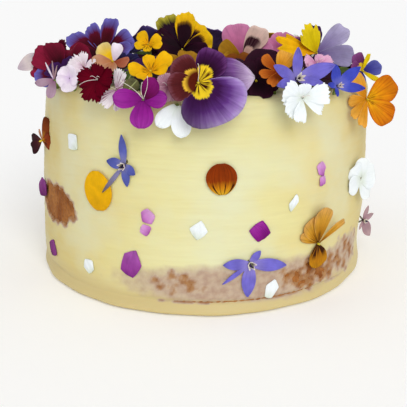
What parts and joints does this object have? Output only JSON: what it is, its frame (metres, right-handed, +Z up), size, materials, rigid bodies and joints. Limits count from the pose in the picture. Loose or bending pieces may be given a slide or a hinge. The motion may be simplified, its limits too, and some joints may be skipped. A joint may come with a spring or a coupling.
{
  "type": "flower cake",
  "caption": "Small round cake in a thin coat of pale buttercream, with a bank of fresh edible flowers on top and loose petals pressed round its side.",
  "frame": {"origin": "centre of the flat underside of the sponge, where the cake rests", "axes": "+Z up; the front, as pictured, faces -Y; +X is the cake's right side as seen from the front"},
  "size_m": [0.1649, 0.1692, 0.1145],
  "materials": {
    "sponge": "matte",
    "buttercream": "matte",
    "leaf": "matte",
    "petal_violet": "matte",
    "petal_magenta": "matte",
    "petal_white": "matte",
    "petal_crimson": "matte",
    "petal_blue": "matte",
    "petal_orange": "matte",
    "petal_pink": "matte",
    "petal_yellow": "matte",
    "petal_mauve": "matte",
    "petal_dark": "matte",
    "petal_peach": "matte",
    "petal_lavender": "matte",
    "petal_rust": "matte",
    "petal_gold": "matte"
  },
  "bodies": {
    "root": {"borage_back": "petal_blue", "borage_blue": "petal_blue", "borage_lilac": "petal_blue", "borage_mauve_side": "petal_mauve", "borage_side_back": "petal_blue", "borage_side_front": "petal_blue", "borage_side_left": "petal_blue", "buttercream": "buttercream", "dianthus_crimson": "petal_crimson", "dianthus_crimson_left": "petal_crimson", "dianthus_pale": "petal_pink", "dianthus_pink": "petal_pink", "dianthus_rose_middle": "petal_pink", "dianthus_speckled": "petal_pink", "dianthus_striped": "petal_pink", "dianthus_white_back": "petal_white", "dianthus_white_rim": "petal_white", "leaf_rim": "leaf", "pansy_blue": "petal_blue", "pansy_burgundy": "petal_crimson", "pansy_burgundy_back": "petal_crimson", "pansy_dark_yellow": "petal_dark", "pansy_lavender": "petal_lavender", "pansy_mauve": "petal_mauve", "pansy_plum_right": "petal_violet", "pansy_violet_back": "petal_violet", "pansy_violet_front": "petal_violet", "pansy_violet_middle": "petal_violet", "pansy_yellow_back": "petal_yellow", "petal_amber_side": "petal_rust", "petal_pale": "petal_mauve", "petal_violet_side": "petal_violet", "petal_yellow_back": "petal_yellow", "petal_yellow_side": "petal_yellow", "phlox_lavender": "petal_white", "phlox_magenta_back": "petal_magenta", "phlox_magenta_rim": "petal_magenta", "phlox_mauve": "petal_mauve", "phlox_white_back": "petal_white", "phlox_white_rim": "petal_white", "phlox_white_side": "petal_white", "sponge": "sponge", "viola_blue": "petal_blue", "viola_blue_middle": "petal_blue", "viola_dark_front": "petal_dark", "viola_dark_left": "petal_dark", "viola_dark_middle": "petal_dark", "viola_dark_right": "petal_dark", "viola_olive_middle": "petal_yellow", "viola_orange": "petal_orange", "viola_orange_back": "petal_orange", "viola_orange_rim": "petal_orange", "viola_peach": "petal_peach", "viola_pink": "petal_mauve", "viola_rust_middle": "petal_rust", "viola_side_back": "petal_gold", "viola_side_gold": "petal_gold", "viola_side_left": "petal_rust", "viola_yellow": "petal_yellow", "viola_yellow_middle": "petal_yellow"}
  },
  "joints": []
}
